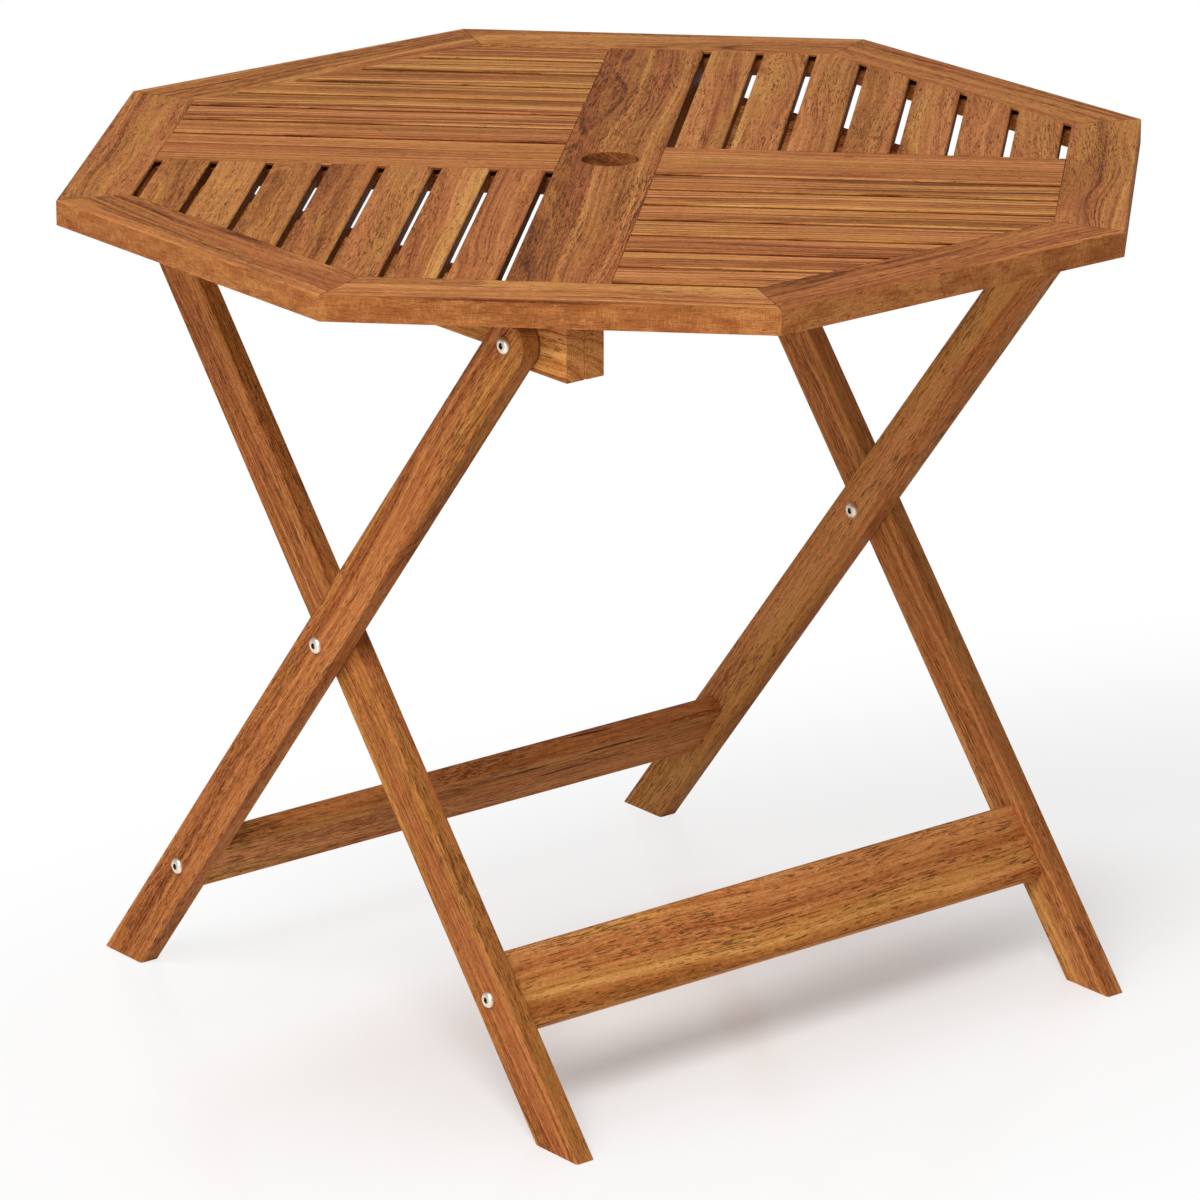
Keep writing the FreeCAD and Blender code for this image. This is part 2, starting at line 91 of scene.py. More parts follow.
# How the boards of the top lie, in degrees, and how many slats a quarter has.
OCTAGON_STEP = 45
ALONG_CENTRE = 45
ACROSS_CENTRE = -45
SLATS_IN_QUARTER = 7

# The reach of the dark hairlines at the mitres and of the shade in the umbrella hole, in metres.
MITRE_SLOPE = math.tan(math.radians(OCTAGON_STEP / 2))
SEAM_OUTER = 0.0014
SEAM_INNER = 0.0002
HOLE_OUTER = 0.0262
HOLE_INNER = 0.0254

# Colours of the wood, from its dark lines to its golden streaks, with their places on the scale.
WOOD_SCALE = (
    (0.16, (0.120, 0.033, 0.007, 1)),
    (0.32, (0.270, 0.080, 0.018, 1)),
    (0.44, (0.350, 0.116, 0.029, 1)),
    (0.56, (0.425, 0.153, 0.041, 1)),
    (0.70, (0.510, 0.203, 0.056, 1)),
    (0.94, (0.650, 0.305, 0.098, 1)),
)
REDDER = (1.02, 0.92, 0.94, 1)
MORE_GOLDEN = (1.03, 1.06, 0.92, 1)
DARK_LINE = (0.085, 0.026, 0.009, 1)
RED_BROWN = (0.280, 0.083, 0.021, 1)
GOLDEN = (0.480, 0.190, 0.056, 1)
# SHADED is the colour of painted shade, and also of the dark hairlines at the mitres.
SHADED = (0.085, 0.021, 0.007, 1)
WHITE = (1, 1, 1, 1)

# Noises of the wood: cells per metre along, across and through the fibres, detail and roughness.
FIBRES = ((26.0, 560.0, 560.0), 3.0, 0.80)
PITS = ((210.0, 820.0, 820.0), 1.5, 0.6)
GRIT = ((130.0, 310.0, 310.0), 2.5, 0.75)
THREADS = ((2.6, 230.0, 230.0), 3.0, 0.70)
CLOUDS = ((2.6, 26.0, 26.0), 2.0, 0.5)
CURL = ((95.0, 42.0, 42.0), 2.0, 0.55)
HUE = ((2.4, 38.0, 38.0), 2.0, 0.5)
DASHES = ((62.0, 930.0, 930.0), 2.0, 0.6)
CROWDING = ((6.0, 44.0, 44.0), 2.0, 0.5)
VEINS = ((3.6, 120.0, 120.0), 3.5, 0.66)
FADING = ((6.0, 70.0, 70.0), 2.0, 0.5)
BLOTS = ((38.0, 60.0, 90.0), 3.5, 0.66)
BRUSHING = ((900.0, 700.0, 130.0), 2.0, 0.6)
FLECKS = ((160.0, 300.0, 520.0), 2.5, 0.6)
DRIFT = (2.2, 7.0, 7.0)
DRIFT_REACH = (0.0, 0.034, 0.034)

# Noises across the growth layers: layers per metre, detail and roughness.
RINGS = (190.0, 4.0, 0.74)
BANDS = (48.0, 2.0, 0.55)
SHORES = (150.0, 2.5, 0.6)
LAYER_SLANT = 0.014
LAYER_SEEDING = 17.3
SEEDING = {"X": 3.17, "Y": 1.73, "Z": 2.41}
PIECES_PER_METRE = 9.0

# How much each part adds to the shade of the wood, and the sum that is taken off as the middle.
BAND_SHARE = 0.66
CLOUD_SHARE = 0.22
THREAD_SHARE = 0.50
FIBRE_SHARE = 0.60
PIT_SHARE = 0.36
GRIT_SHARE = 0.40
SHORE_SHARE = -0.30
CREST_SHARE = 0.20
MIDDLE_SHADE = 0.80

# How strongly each mark covers the wood, from 0 to 1. The gap, narrow-face and hole marks are painted
# shade, and the worn edges are partly wear and partly a painted highlight.
STREAK_COVER = 0.80
PORE_COVER = 0.64
SIDE_COVER = 0.9
FLECK_COVER = 0.60
END_COVER = 0.10
EDGE_WEAR_AND_HIGHLIGHT_COVER = 0.24
SEAM_COVER = 0.50
GAP_COVER = 0.72
NARROW_COVER = 0.24
HOLE_COVER = 0.55

# How much the fibres, the pits and the grit stand out in the relief, and how deep the pores lie.
FIBRE_RELIEF = 0.50
PIT_RELIEF = 0.60
GRIT_RELIEF = 0.70
PORE_RELIEF = -0.8

# What a board's own looks can change, with the values of a plain board.
PLAIN_LOOKS = {
    "Tone": 0.0, "Pores": 1.0, "Streaks": 0.4, "Figure": 0.1, "Side": 0.0, "Lines": 0.6, "Warmth": 0.0,
}

# Where the pith lies from the middle of a board, across and through the fibres in metres.
PITH = (0.03, -0.05)
FAR_PITH = (0.12, -0.02)
PLANK_PITH = (0.11, -0.02)

# The camera of the photograph: degrees, metres and pixels.
AZIMUTH = -38.697
ELEVATION = 18.551
DISTANCE = 6.0818
TARGET = (-0.0094, 0.0025, 0.3499)
FOCAL_PIXELS = 6912.1
PICTURE_PIXELS = 1200
SENSOR_MM = 36

# The studio, in metres.
FLOOR_REACH = 9.0
SHADOW_CENTRE = (0.0, -0.13, 0)
SHADOW_OVAL = (0.62, 1.45, 1.0)
LIT_POINT = (0, 0, 0.4)


def add(tree, kind, inputs=None, **settings):
    """A node with its settings, whose inputs are values or other nodes' outputs."""
    node = tree.nodes.new(kind)
    for name, value in settings.items():
        setattr(node, name, value)
    for name, value in (inputs or {}).items():
        if isinstance(value, bpy.types.NodeSocket):
            tree.links.new(value, node.inputs[name])
        else:
            node.inputs[name].default_value = value
    return node


def maths(tree, operation, a, b=0.0, c=0.0):
    return add(tree, "ShaderNodeMath", {0: a, 1: b, 2: c}, operation=operation).outputs[0]


def times(tree, a, b):
    return maths(tree, "MULTIPLY", a, b)


def plus_share(tree, total, value, share):
    """The total with a share of the value added to it."""
    return maths(tree, "MULTIPLY_ADD", value, share, total)


def without(tree, a, b):
    return maths(tree, "SUBTRACT", a, b)


def unsigned(tree, value):
    return maths(tree, "ABSOLUTE", value)


def between(tree, value, low, high, to_low=0.0, to_high=1.0):
    """Smoothly maps low..high to to_low..to_high, clamped."""
    limits = {"From Min": low, "From Max": high, "To Min": to_low, "To Max": to_high}
    inputs = {"Value": value, **limits}
    return add(tree, "ShaderNodeMapRange", inputs, interpolation_type="SMOOTHSTEP").outputs[0]


def mix(tree, factor, a, b, blend="MIX"):
    node = add(tree, "ShaderNodeMix", {0: factor, 6: a, 7: b}, data_type="RGBA", blend_type=blend)
    return node.outputs[2]


def vectors(tree, operation, a, b):
    return add(tree, "ShaderNodeVectorMath", {0: a, 1: b}, operation=operation).outputs[0]


def length_of(tree, vector):
    return add(tree, "ShaderNodeVectorMath", {0: vector}, operation="LENGTH").outputs["Value"]


def split(tree, vector):
    """The X, Y and Z of a vector."""
    return add(tree, "ShaderNodeSeparateXYZ", {0: vector}).outputs


def noise(tree, vector, cells, detail=2.0, roughness=0.5):
    """Noise with its own number of cells per metre along each axis."""
    values = {
        "Vector": vectors(tree, "MULTIPLY", vector, cells),
        "Scale": 1.0, "Detail": detail, "Roughness": roughness,
    }
    return add(tree, "ShaderNodeTexNoise", values, noise_dimensions="3D").outputs[0]


def layer_noise(tree, layer, seeded, layers, detail, roughness):
    """Noise across the growth layers only."""
    place = plus_share(tree, seeded, layer, layers)
    values = {"W": place, "Scale": 1.0, "Detail": detail, "Roughness": roughness}
    return add(tree, "ShaderNodeTexNoise", values, noise_dimensions="1D").outputs[0]


def new_material(name):
    made = bpy.data.materials.new(name)
    made.use_nodes = True
    made.node_tree.nodes.clear()
    return made


def linked(item):
    """Puts an object in the scene."""
    bpy.context.scene.collection.objects.link(item)
    return item


def seeded_place(group, into):
    """Grain coordinates moved by the seed, so that each board is its own cut of wood."""
    moves = {axis: times(group, into["Seed"], share) for axis, share in SEEDING.items()}
    shift = add(group, "ShaderNodeCombineXYZ", moves).outputs[0]
    return vectors(group, "ADD", into["Vector"], shift)


def meander(group, place):
    """How far the fibres wander, which takes the growth layers with them."""
    values = {"Vector": vectors(group, "MULTIPLY", place, DRIFT), "Scale": 1.0, "Detail": 2.0}
    drift = add(group, "ShaderNodeTexNoise", values).outputs[1]
    centred = vectors(group, "SUBTRACT", drift, (0.5, 0.5, 0.5))
    return vectors(group, "MULTIPLY", centred, DRIFT_REACH)


def growth_layers(group, into, place, wander):
    """Rings, wide bands, dark shores and pale crests of the layers round the pith."""
    from_pith = vectors(group, "SUBTRACT", into["Vector"], into["Pith"])
    along, across, through = split(group, vectors(group, "ADD", from_pith, wander))
    flat = add(group, "ShaderNodeCombineXYZ", {"Y": across, "Z": through}).outputs[0]
    layer = plus_share(group, length_of(group, flat), along, LAYER_SLANT)
    seeded = times(group, into["Seed"], LAYER_SEEDING)
    rings = layer_noise(group, layer, seeded, *RINGS)
    bands = layer_noise(group, layer, seeded, *BANDS)
    shores = layer_noise(group, layer, seeded, *SHORES)
    off_shore = unsigned(group, without(group, shores, 0.47))
    shore = between(group, off_shore, 0.060, 0.014)
    crest = between(group, shores, 0.60, 0.68)
    fading = noise(group, place, *FADING)
    shore = times(group, shore, between(group, fading, 0.38, 0.58))
    return rings, bands, shore, crest


def pore_dashes(group, into, place, bent):
    """Fine dark dashes, some places full of them and others almost clear."""
    crowd = between(group, noise(group, place, *CROWDING), 0.32, 0.70)
    wanted = times(group, into["Pores"], maths(group, "MULTIPLY_ADD", crowd, 0.09, 0.045))
    limit = without(group, 0.70, wanted)
    return between(group, without(group, noise(group, bent, *DASHES), limit), 0.0, 0.045)


def edge_face_colour(group, place):
    """Edge faces of the frame boards: blotches and jointed pieces in place of fibres."""
    joint = maths(group, "FLOOR", times(group, split(group, place)[0], PIECES_PER_METRE))
    piece = add(group, "ShaderNodeTexWhiteNoise", {"W": joint}, noise_dimensions="1D").outputs["Value"]
    blotch = plus_share(group, times(group, noise(group, place, *BLOTS), 0.52), piece, 0.10)
    blotch = plus_share(group, blotch, noise(group, place, *BRUSHING), 0.36)
    colour = mix(group, between(group, blotch, 0.38, 0.60), RED_BROWN, GOLDEN)
    flecks = between(group, noise(group, place, *FLECKS), 0.58, 0.70)
    return mix(group, times(group, flecks, FLECK_COVER), colour, RED_BROWN)


def wood_colours(group, shade):
    """The scale from dark lines to golden streaks."""
    ramp = add(group, "ShaderNodeValToRGB", {0: shade})
    scale = ramp.color_ramp.elements
    scale[0].position, scale[0].color = WOOD_SCALE[0]
    scale[1].position, scale[1].color = WOOD_SCALE[-1]
    for position, tone in WOOD_SCALE[1:-1]:
        scale.new(position).color = tone
    return ramp.outputs[0]


def grain_group():
    """Solid hardwood in grain coordinates: X along the fibres, Y and Z across them.
    Growth layers run round the pith; fibres, pores and mineral streaks lie along X."""
    group = bpy.data.node_groups.new("hardwood_grain", "ShaderNodeTree")
    sockets = group.interface
    for name in ("Vector", "Normal", "Pith"):
        sockets.new_socket(name=name, in_out="INPUT", socket_type="NodeSocketVector")
    for name in ("Seed", *PLAIN_LOOKS, "Dusk"):
        sockets.new_socket(name=name, in_out="INPUT", socket_type="NodeSocketFloat")
    sockets.new_socket(name="Color", in_out="OUTPUT", socket_type="NodeSocketColor")
    for name in ("Roughness", "Height"):
        sockets.new_socket(name=name, in_out="OUTPUT", socket_type="NodeSocketFloat")
    into = group.nodes.new("NodeGroupInput").outputs

    place = seeded_place(group, into)
    wander = meander(group, place)
    bent = vectors(group, "ADD", place, wander)
    fibres = noise(group, bent, *FIBRES)
    pits = noise(group, bent, *PITS)
    grit = noise(group, bent, *GRIT)
    threads = noise(group, bent, *THREADS)
    clouds = noise(group, bent, *CLOUDS)
    curl = noise(group, bent, *CURL)
    rings, bands, shore, crest = growth_layers(group, into, place, wander)
    pores = pore_dashes(group, into, place, bent)

    # The shade of the wood is the sum of its parts.
    shade = plus_share(group, times(group, clouds, CLOUD_SHARE), bands, BAND_SHARE)
    shade = plus_share(group, shade, without(group, rings, 0.5), into["Lines"])
    shade = plus_share(group, shade, threads, THREAD_SHARE)
    shade = plus_share(group, shade, fibres, FIBRE_SHARE)
    shade = plus_share(group, shade, pits, PIT_SHARE)
    shade = plus_share(group, shade, grit, GRIT_SHARE)
    shade = plus_share(group, shade, without(group, curl, 0.5), into["Figure"])
    shade = plus_share(group, shade, times(group, shore, into["Lines"]), SHORE_SHARE)
    shade = plus_share(group, shade, times(group, crest, into["Lines"]), CREST_SHARE)
    shade = maths(group, "ADD", without(group, shade, MIDDLE_SHADE), into["Tone"])

    # Redder and more golden places, then the rare mineral streaks, long and nearly black.
    colour = wood_colours(group, shade)
    red = mix(group, 1.0, colour, REDDER, "MULTIPLY")
    gold = mix(group, 1.0, colour, MORE_GOLDEN, "MULTIPLY")
    warmer = maths(group, "ADD", noise(group, bent, *HUE), into["Warmth"])
    colour = mix(group, between(group, warmer, 0.41, 0.58), red, gold)
    streaks = times(group, between(group, noise(group, bent, *VEINS), 0.620, 0.730), into["Streaks"])
    colour = mix(group, times(group, streaks, STREAK_COVER), colour, DARK_LINE)
    colour = mix(group, times(group, pores, PORE_COVER), colour, DARK_LINE)

    facing = [unsigned(group, part) for part in split(group, into["Normal"])]
    sideways = times(group, between(group, facing[1], 0.80, 0.95), into["Side"])
    sided = times(group, sideways, SIDE_COVER)
    colour = mix(group, sided, colour, edge_face_colour(group, place))

    # End grain is darker. The Dusk mix towards SHADED is painted shade on gap walls, the umbrella hole's
    # wall and the legs' narrow faces, and dark hairlines at the mitres.
    ends = between(group, facing[0], 0.80, 0.97)
    colour = mix(group, times(group, ends, END_COVER), colour, RED_BROWN)
    colour = mix(group, into["Dusk"], colour, SHADED)

    # Eased edges are painted paler towards GOLDEN: partly wear, partly a painted highlight along the
    # rounded edges.
    flattest = maths(group, "MAXIMUM", facing[1], facing[2])
    flattest = maths(group, "MAXIMUM", flattest, facing[0])
    worn = between(group, flattest, 0.90, 0.76)
    rubbed_and_highlit = times(group, worn, between(group, clouds, 0.36, 0.60, 0.0, EDGE_WEAR_AND_HIGHLIGHT_COVER))
    colour = mix(group, rubbed_and_highlit, colour, GOLDEN)

    rough = maths(group, "MULTIPLY_ADD", fibres, 0.30, 0.38)
    rough = plus_share(group, rough, pores, 0.20)
    height = plus_share(group, times(group, fibres, FIBRE_RELIEF), pores, PORE_RELIEF)
    height = plus_share(group, height, pits, PIT_RELIEF)
    height = plus_share(group, height, grit, GRIT_RELIEF)
    add(group, "NodeGroupOutput", {"Color": colour, "Roughness": rough, "Height": height})
    return group


GRAIN = grain_group()


# Shades: each takes a board's grain coordinates and normal and says how far the wood is mixed towards
# SHADED there. The mitre hairlines are dark joints; the gap, hole and narrow-face shades are painted
# shade.
def mitre_seams(tree, place, normal):
    """Dark hairlines where a mitred board meets its neighbours. X runs along the board,
    and the middle of the table lies on its Y side."""
    along, across, _ = split(tree, place)
    reach = times(tree, unsigned(tree, across), MITRE_SLOPE)
    away = without(tree, reach, unsigned(tree, along))
    level = unsigned(tree, split(tree, normal)[2])
    return times(tree, between(tree, away, SEAM_OUTER, SEAM_INNER, 0.0, SEAM_COVER), level)


def gap_shade(tree, place, normal):
    """Painted shade on the faces that line the narrow gaps."""
    return between(tree, unsigned(tree, split(tree, normal)[1]), 0.86, 0.98, 0.0, GAP_COVER)


def narrow_shade(tree, place, normal):
    """Painted shade on a leg's narrow faces, drawn slightly darker towards SHADED."""
    return between(tree, unsigned(tree, split(tree, normal)[1]), 0.50, 0.95, 0.0, NARROW_COVER)


def hole_shade(tree, place, normal):
    """Painted shade on the wall of the umbrella hole and on the sides of its board."""
    away = length_of(tree, vectors(tree, "MULTIPLY", place, (1.0, 1.0, 0.0)))
    wall = between(tree, away, HOLE_OUTER, HOLE_INNER, 0.0, HOLE_COVER)
    darkest = maths(tree, "MAXIMUM", wall, gap_shade(tree, place, normal))
    upright = unsigned(tree, split(tree, normal)[2])
    return times(tree, darkest, without(tree, 1.0, upright))


def turned(tree, vector, turn, kind):
    """A point or a direction in grain coordinates."""
    inputs = {"Vector": vector, "Rotation": turn}
    return add(tree, "ShaderNodeMapping", inputs, vector_type=kind).outputs[0]


def wood(name, turn, centre, seed, shade=None, pith=PITH, **looks):
    """A wood material whose fibres lie along the X axis that turn gives."""
    made = new_material(name)
    tree = made.node_tree
    own = add(tree, "ShaderNodeTexCoord").outputs
    place = turned(tree, own["Object"], turn, "POINT")
    normal = turned(tree, own["Normal"], turn, "VECTOR")
    middle = centre.copy()
    middle.rotate(turn)
    heart = (middle.x, middle.y + pith[0], middle.z + pith[1])
    inputs = {"Vector": place, "Normal": normal, "Pith": heart, "Seed": seed, **PLAIN_LOOKS, **looks}
    if shade:
        inputs["Dusk"] = shade(tree, place, normal)
    grain = add(tree, "ShaderNodeGroup", inputs, node_tree=GRAIN)
    relief = {"Height": grain.outputs["Height"], "Strength": 0.80, "Distance": 0.0024}
    bump = add(tree, "ShaderNodeBump", relief)
    shader = add(tree, "ShaderNodeBsdfPrincipled", {
        "Base Color": grain.outputs["Color"],
        "Roughness": grain.outputs["Roughness"],
        "Normal": bump.outputs[0],
        "Specular IOR Level": 0.05,
    })
    add(tree, "ShaderNodeOutputMaterial", {0: shader.outputs[0]})
    return made


def dress(node, turn, seed, shade=None, **looks):
    """Gives a carried-over board its own wood."""
    piece = nodes[node]
    low, high = (Vector(corner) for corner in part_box(node))
    made = wood(f"wood_{node}", turn, (low + high) / 2, seed, shade, **looks)
    piece.data.materials.clear()
    piece.data.materials.append(made)


def turned_flat(degrees):
    """Grain along a direction in the plane of the top, given from +X."""
    return Matrix.Rotation(math.radians(-degrees), 3, "Z").to_euler()


def turned_up(lean):
    """Grain along a leg that leans by an angle from upright."""
    stand = Matrix.Rotation(math.radians(90), 3, "Y") @ Matrix.Rotation(lean, 3, "X")
    return stand.to_euler()


def turned_across(lean):
    """Grain along a stretcher, which runs along X and leans with its legs."""
    return Matrix.Rotation(lean, 3, "X").to_euler()


def dress_octagon():
    """The mitred boards, in order round the top from the right, each with its tone."""
    sides = (
        ("right", 0.02), ("back_right", 0.01), ("back", -0.01), ("back_left", -0.03),
        ("left", -0.04), ("front_left", 0.0), ("front", -0.03), ("front_right", 0.0),
    )
    for step, (side, tone) in enumerate(sides):
        outwards = OCTAGON_STEP * (step - 1)
        dress(
            f"frame_board_{side}", turned_flat(outwards + 90), seed=3.1 + step, shade=mitre_seams,
            Side=1.0, Lines=0.8, Streaks=0.7, Tone=tone,
        )


def dress_cross():
    """The centre board and the two rails that cross it."""
    dress(
        "centre_board", turned_flat(ALONG_CENTRE), seed=12.4, shade=hole_shade,
        Pores=1.25, Streaks=1.1, Tone=-0.07,
    )
    for side, seed, pores in (("left", 13.6, 0.6), ("right", 14.2, 0.7)):
        dress(
            f"cross_rail_{side}", turned_flat(ACROSS_CENTRE), seed, gap_shade, pith=FAR_PITH,
            Tone=0.02, Pores=pores, Lines=0.9,
        )


def dress_slats():
    """Two quarters of lively slats, and two whose straight lines run to left and right."""
    quarters = (
        ("back_right", ALONG_CENTRE), ("back_left", ACROSS_CENTRE),
        ("front_left", ALONG_CENTRE), ("front_right", ACROSS_CENTRE),
    )
    for quarter, direction in quarters:
        for number in range(1, SLATS_IN_QUARTER + 1):
            seed = 20 + 7.3 * number + direction / 9 + (3 if "left" in quarter else 0)
            swing, turn = math.sin(seed * 2.4), math.sin(seed * 5.1)
            looks = {"Warmth": 0.07 * turn}
            if direction == ALONG_CENTRE:
                looks.update(Tone=0.03 + 0.07 * swing, Lines=0.55, Figure=0.12 + 0.12 * turn)
            else:
                looks.update(Tone=0.06 + 0.03 * swing, Lines=1.5, Figure=0.0, Pores=0.45, pith=PLANK_PITH)
            dress(f"slat_{quarter}_{number}", turned_flat(direction), seed, gap_shade, **looks)


def dress_leg_frames():
    """Legs and stretchers. The right legs get a paler tone to match the photograph: painted light, for
    the light that the top keeps off them.
    """
    legs = (
        ("leg_a_left", -LEAN, 1.3, 0.0, -0.03), ("leg_a_right", -LEAN, 2.6, 0.23, -0.02),
        ("leg_b_left", LEAN, 4.1, -0.02, -0.05), ("leg_b_right", LEAN, 5.7, 0.16, -0.05),
    )
    for node, lean, seed, tone, warmth in legs:
        dress(
            node, turned_up(lean), seed, narrow_shade, pith=FAR_PITH,
            Pores=1.2, Lines=0.55, Figure=0.05, Tone=tone, Warmth=warmth,
        )
    dress(
        "stretcher_a", turned_across(-LEAN), seed=7.9,
        Pores=1.5, Streaks=1.8, Tone=0.14, Warmth=-0.04,
    )
    dress("stretcher_b", turned_across(LEAN), seed=9.2, Pores=1.1, Tone=0.15, Warmth=-0.03)


def dress_beams():
    """The beams and the blocks on them. Their raised tone is painted light, for the light that the top
    keeps off them.
    """
    blocks = ("beam_left", "beam_right", "pivot_block", "stop_block_left", "stop_block_right")
    for number, node in enumerate(blocks):
        seed = 15.5 + 1.1 * number
        dress(node, turned_flat(90), seed, Tone=0.15, Lines=0.9, Warmth=0.03)


def metal(name, colour, rough, worn):
    """Satin plated steel with faint cloudy wear."""
    made = new_material(name)
    tree = made.node_tree
    place = add(tree, "ShaderNodeTexCoord").outputs["Object"]
    haze = noise(tree, place, (420.0, 420.0, 420.0), 3.0)
    scuffs = noise(tree, place, (1500.0, 1500.0, 1500.0))
    bump = add(tree, "ShaderNodeBump", {"Height": scuffs, "Strength": 0.12, "Distance": 0.0002})
    shader = add(tree, "ShaderNodeBsdfPrincipled", {
        "Base Color": mix(tree, between(tree, haze, 0.35, 0.7), colour, worn),
        "Metallic": 1.0,
        "Roughness": maths(tree, "MULTIPLY_ADD", haze, 0.18, rough),
        "Normal": bump.outputs[0],
    })
    add(tree, "ShaderNodeOutputMaterial", {0: shader.outputs[0]})
    return made


NICKEL = metal("pale_nickel", (0.95, 0.88, 0.76, 1), rough=0.34, worn=(0.86, 0.78, 0.64, 1))
SOCKET = metal("socket_shadow", (0.035, 0.032, 0.028, 1), rough=0.55, worn=(0.06, 0.05, 0.04, 1))


def ring_of(mesh, place, radius_at):
    """A ring of vertices at a place along the axis, with a radius for each angle."""
    ring = []
    for i in range(SEGMENTS):
        angle = 2 * math.pi * i / SEGMENTS
        radius = radius_at(angle)
        ring.append(mesh.verts.new((place, radius * math.cos(angle), radius * math.sin(angle))))
    return ring


def bridge(mesh, first, second, material=0):
    """Smooth faces between two rings."""
    for i in range(SEGMENTS):
        j = (i + 1) % SEGMENTS
        face = mesh.faces.new((first[i], first[j], second[j], second[i]))
        face.material_index = material
        face.smooth = True


def hexagon_at(angle):
    """The distance from the middle of the socket to its side in a direction."""
    off = (angle + math.pi / 6) % (math.pi / 3) - math.pi / 6
    return SOCKET_WIDTH / 2 / math.cos(off)


def head_profile(radius, height, shank, length):
    """Radius and place along the axis, from the end of the shank to the flat crown."""
    profile = [
        (shank, -length),
        (shank, 0.0),
        (radius * SEAT_SHARE, 0.0),
        (radius, height * RIM_LOW),
        (radius, height * RIM_HIGH),
    ]
    crown = radius * CROWN_SHARE
    for step in range(1, DOME_STEPS + 1):
        turn = math.pi / 2 * step / DOME_STEPS
        profile.append((
            crown + (radius - crown) * math.cos(turn),
            height * (RIM_HIGH + (1 - RIM_HIGH) * math.sin(turn)),
        ))
    return profile


def turned_head(mesh, seat, way, radius, height, shank, length, socket):
    """A domed head, its shank and, if wanted, its hexagon socket. The axis is X."""
    profile = head_profile(radius, height, shank, length)
    rings = [ring_of(mesh, seat + way * t, lambda angle, r=r: r) for r, t in profile]
    end = mesh.verts.new((seat - way * length, 0, 0))
    for i in range(SEGMENTS):
        mesh.faces.new((end, rings[0][(i + 1) % SEGMENTS], rings[0][i]))
    for first, second in zip(rings, rings[1:]):
        bridge(mesh, first, second)
    last, bottom = rings[-1], height
    if socket:
        lip = ring_of(mesh, seat + way * height, lambda angle: hexagon_at(angle) * SOCKET_LIP)
        edge = ring_of(mesh, seat + way * (height - SOCKET_EDGE_DEPTH), hexagon_at)
        deep = ring_of(mesh, seat + way * (height - SOCKET_DEPTH), hexagon_at)
        bridge(mesh, last, lip)
        bridge(mesh, lip, edge)
        bridge(mesh, edge, deep, 1)
        last, bottom = deep, height - SOCKET_DEPTH - DRILL_POINT
    middle = mesh.verts.new((seat + way * bottom, 0, 0))
    for i in range(SEGMENTS):
        face = mesh.faces.new((last[i], last[(i + 1) % SEGMENTS], middle))
        face.smooth = not socket


def heads(node, outwards, height, shank, socket=True):
    """Finer fasteners in place of a node's two solids, at the same seats."""
    source = nodes[node]
    mesh = bmesh.new()
    for side in (-1, 1):
        points = [v.co for v in source.data.vertices if v.co.x * side > 0]
        low = [min(p[i] for p in points) for i in range(3)]
        high = [max(p[i] for p in points) for i in range(3)]
        way = side if outwards else -side
        tip, tail = (high[0], low[0]) if way > 0 else (low[0], high[0])
        radius = (high[1] - low[1]) / 2
        length = abs(tip - tail) - height
        before = len(mesh.verts)
        turned_head(mesh, tip - way * height, way, radius, height, shank, length, socket)
        mesh.verts.ensure_lookup_table()
        middle = Vector((0, (low[1] + high[1]) / 2, (low[2] + high[2]) / 2))
        bmesh.ops.translate(mesh, verts=mesh.verts[before:], vec=middle)
    bmesh.ops.recalc_face_normals(mesh, faces=mesh.faces)
    data = bpy.data.meshes.new(f"{node}_fine")
    mesh.to_mesh(data)
    mesh.free()
    data.set_sharp_from_angle(angle=math.radians(SHARP_ANGLE))
    piece = linked(bpy.data.objects.new(f"{node}_fine", data))
    data.materials.append(NICKEL)
    data.materials.append(SOCKET)
    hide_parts(node)
    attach(piece, source["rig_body"])


def fasteners():
    """Bolts, nuts, pins and washers."""
    for node in ("crossing_washers", "pivot_washers"):
        nodes[node].data.materials.clear()
        nodes[node].data.materials.append(NICKEL)
    for node in ("pivot_bolts", "crossing_bolts"):
        heads(node, outwards=True, height=HEAD_HEIGHT, shank=SCREW_RADIUS)
    for node in ("stretcher_bolts_a", "stretcher_bolts_b"):
        heads(node, outwards=True, height=HEAD_HEIGHT, shank=SHANK_RADIUS)
    for node in ("pivot_nuts", "crossing_nuts"):
        heads(node, outwards=False, height=HEAD_HEIGHT, shank=SHANK_RADIUS)
    heads("rest_pins", outwards=True, height=PIN_HEAD_HEIGHT, shank=PIN_RADIUS, socket=False)


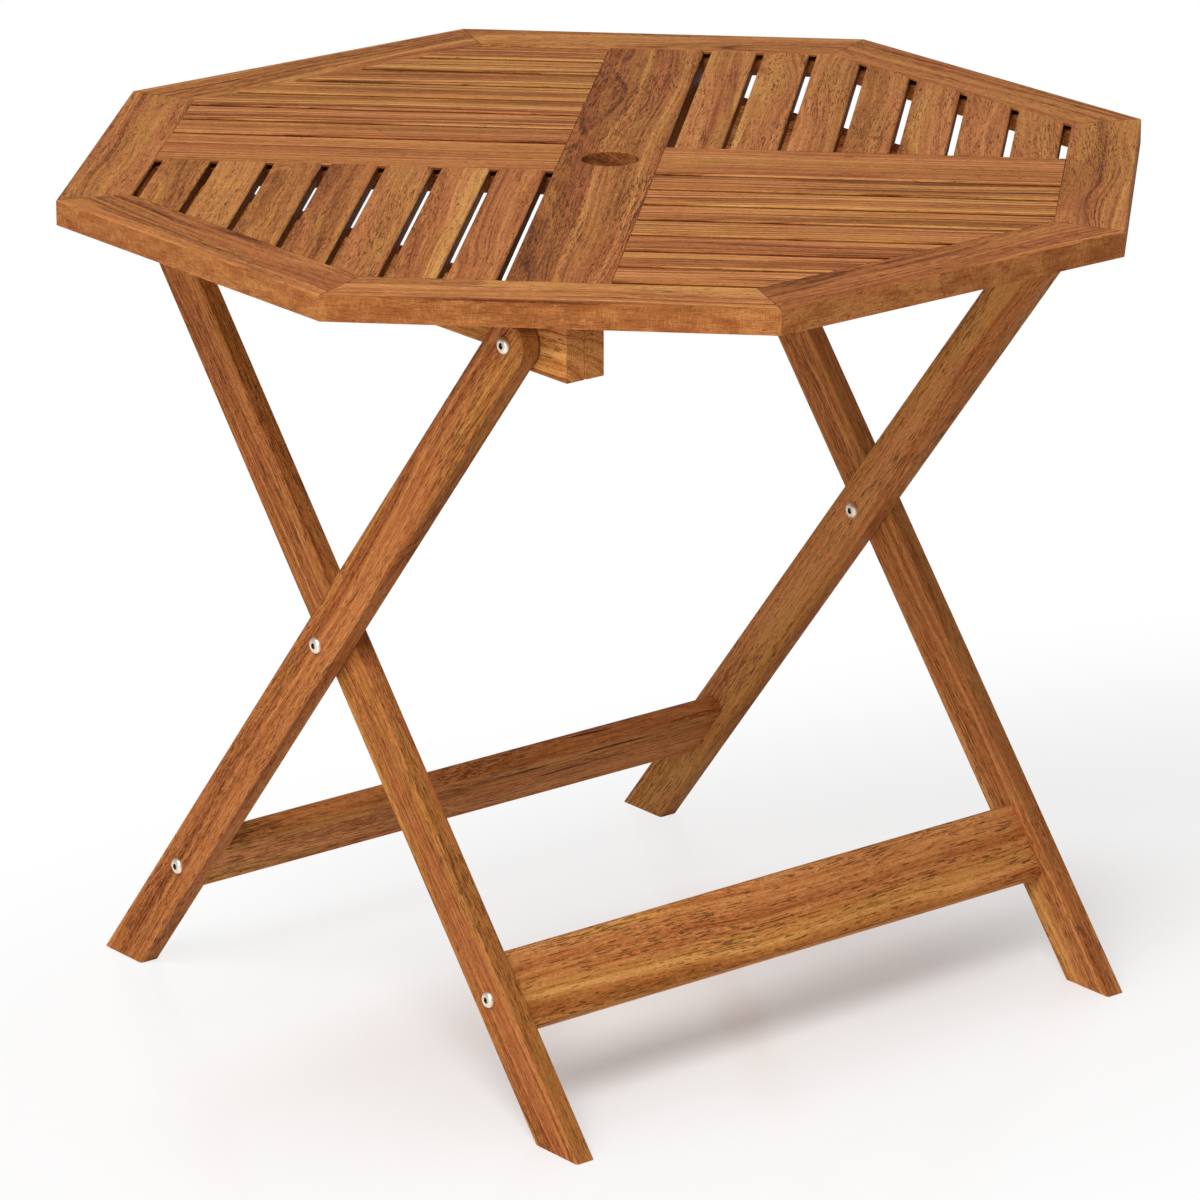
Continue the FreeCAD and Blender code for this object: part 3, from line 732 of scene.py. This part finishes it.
def floor():
    """A pale floor that glows white for the camera: painted light that washes out its real shading, least
    in an oval round SHADOW_CENTRE so that the soft shadows near the table stay, and fading to full white
    away from the table.
    """
    data = bpy.data.meshes.new("studio_floor")
    far = FLOOR_REACH
    corners = [(-far, -far, 0), (far, -far, 0), (far, far, 0), (-far, far, 0)]
    data.from_pydata(corners, [], [(0, 1, 2, 3)])
    plane = linked(bpy.data.objects.new("studio_floor", data))
    made = new_material("studio_floor")
    tree = made.node_tree
    place = add(tree, "ShaderNodeTexCoord").outputs["Object"]
    shader = add(tree, "ShaderNodeBsdfPrincipled", {
        "Base Color": (0.97, 0.95, 0.94, 1), "Roughness": 0.14, "Specular IOR Level": 0.80,
    })
    white = add(tree, "ShaderNodeEmission", {"Color": WHITE, "Strength": 1.0})
    seen = add(tree, "ShaderNodeLightPath").outputs["Is Camera Ray"]
    # Painted light: the camera sees a white glow mixed over the floor, a little of it inside the oval and
    # all of it far away.
    shifted = vectors(tree, "SUBTRACT", place, SHADOW_CENTRE)
    away = length_of(tree, vectors(tree, "MULTIPLY", shifted, SHADOW_OVAL))
    near = between(tree, away, 0.13, 0.42, 0.18, 0.74)
    lift = maths(tree, "ADD", near, between(tree, away, 0.42, 1.10, 0.0, 0.26))
    fade = times(tree, lift, seen)
    both = add(tree, "ShaderNodeMixShader", {0: fade, 1: shader.outputs[0], 2: white.outputs[0]})
    add(tree, "ShaderNodeOutputMaterial", {0: both.outputs[0]})
    data.materials.append(made)


def soft_light(name, place, size, power):
    """A round soft light that faces the table."""
    lamp = bpy.data.lights.new(name, "AREA")
    lamp.shape = "DISK"
    lamp.size = size
    lamp.energy = power
    made = linked(bpy.data.objects.new(name, lamp))
    made.location = place
    made.rotation_euler = (Vector(LIT_POINT) - made.location).to_track_quat("-Z", "Y").to_euler()


def studio():
    """White surroundings, a soft key light and a low fill on the left, and a faint one behind."""
    world = bpy.data.worlds.new("studio")
    bpy.context.scene.world = world
    world.use_nodes = True
    tree = world.node_tree
    tree.nodes.clear()
    ambient = add(tree, "ShaderNodeBackground", {"Color": WHITE, "Strength": 0.40})
    backdrop = add(tree, "ShaderNodeBackground", {"Color": WHITE, "Strength": 1.0})
    seen = add(tree, "ShaderNodeLightPath").outputs["Is Camera Ray"]
    both = add(tree, "ShaderNodeMixShader", {0: seen, 1: ambient.outputs[0], 2: backdrop.outputs[0]})
    add(tree, "ShaderNodeOutputWorld", {0: both.outputs[0]})
    soft_light("key", (-2.86, -1.74, 4.14), size=2.5, power=178)
    soft_light("fill", (-4.4, -1.6, 1.8), size=2.4, power=42)
    soft_light("rim", (2.3, 2.9, 3.9), size=2.0, power=24)


def camera():
    """The photograph's view: a long lens from the front left, a little above the top."""
    azimuth = math.radians(AZIMUTH)
    elevation = math.radians(ELEVATION)
    look = Vector((
        -math.sin(azimuth) * math.cos(elevation),
        math.cos(azimuth) * math.cos(elevation),
        -math.sin(elevation),
    ))
    lens = bpy.data.cameras.new("camera")
    lens.sensor_width = SENSOR_MM
    lens.lens = FOCAL_PIXELS / PICTURE_PIXELS * lens.sensor_width
    lens.clip_end = 100
    made = linked(bpy.data.objects.new("camera", lens))
    made.location = Vector(TARGET) - look * DISTANCE
    made.rotation_euler = look.to_track_quat("-Z", "Y").to_euler()
    bpy.context.scene.camera = made


dress_octagon()
dress_cross()
dress_slats()
dress_leg_frames()
dress_beams()
fasteners()
floor()
studio()
camera()
bpy.context.scene.view_settings.view_transform = "Standard"
